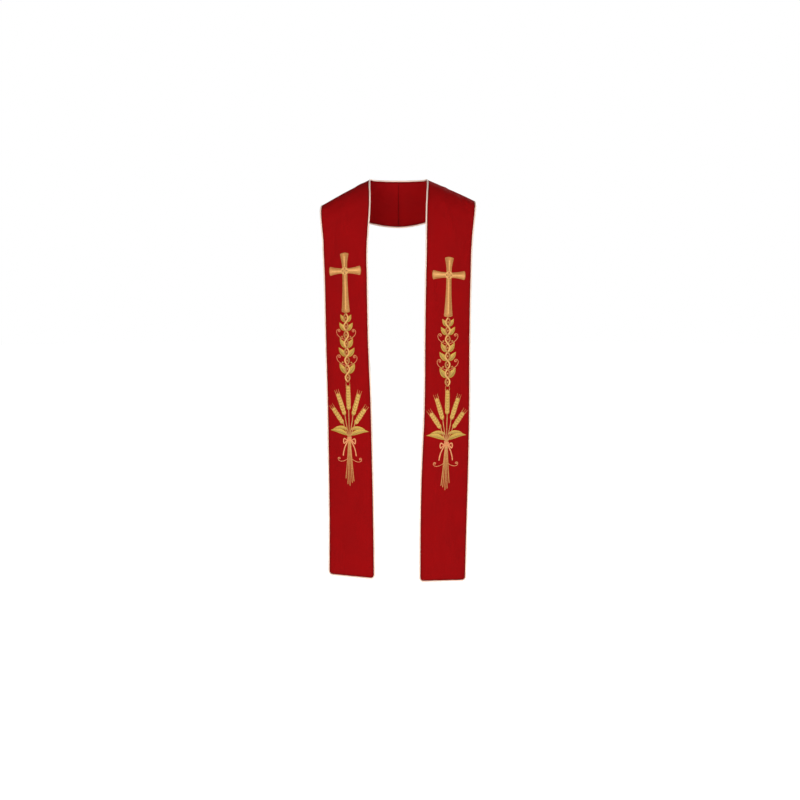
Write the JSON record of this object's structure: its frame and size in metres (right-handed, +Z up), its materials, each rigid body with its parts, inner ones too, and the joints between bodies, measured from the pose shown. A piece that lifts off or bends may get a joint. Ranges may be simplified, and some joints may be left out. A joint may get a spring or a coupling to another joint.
{
  "type": "clerical stole",
  "caption": "Long piped cloth stole in its worn, hollow form: a curved yoke round the back of the neck and two embroidered bands hanging straight down the front.",
  "frame": {"origin": "the middle of the neck edge at the centre back seam, where the stole hangs on the wearer's nape", "axes": "+Z up, along the hanging bands; the wearer faces -Y; +X towards the wearer's left"},
  "size_m": [0.4769, 0.1953, 1.231],
  "materials": {
    "red_cloth": "plain fine weave, matt with a soft sheen",
    "cream_piping": "satin bias piping",
    "gold_thread": "satin-stitched embroidery thread"
  },
  "bodies": {
    "root": {"stole_band_right": "red_cloth", "stole_band_left": "red_cloth", "piping_right": "cream_piping", "piping_left": "cream_piping", "embroidered_cross_right": "gold_thread", "embroidered_cross_left": "gold_thread"}
  },
  "joints": []
}
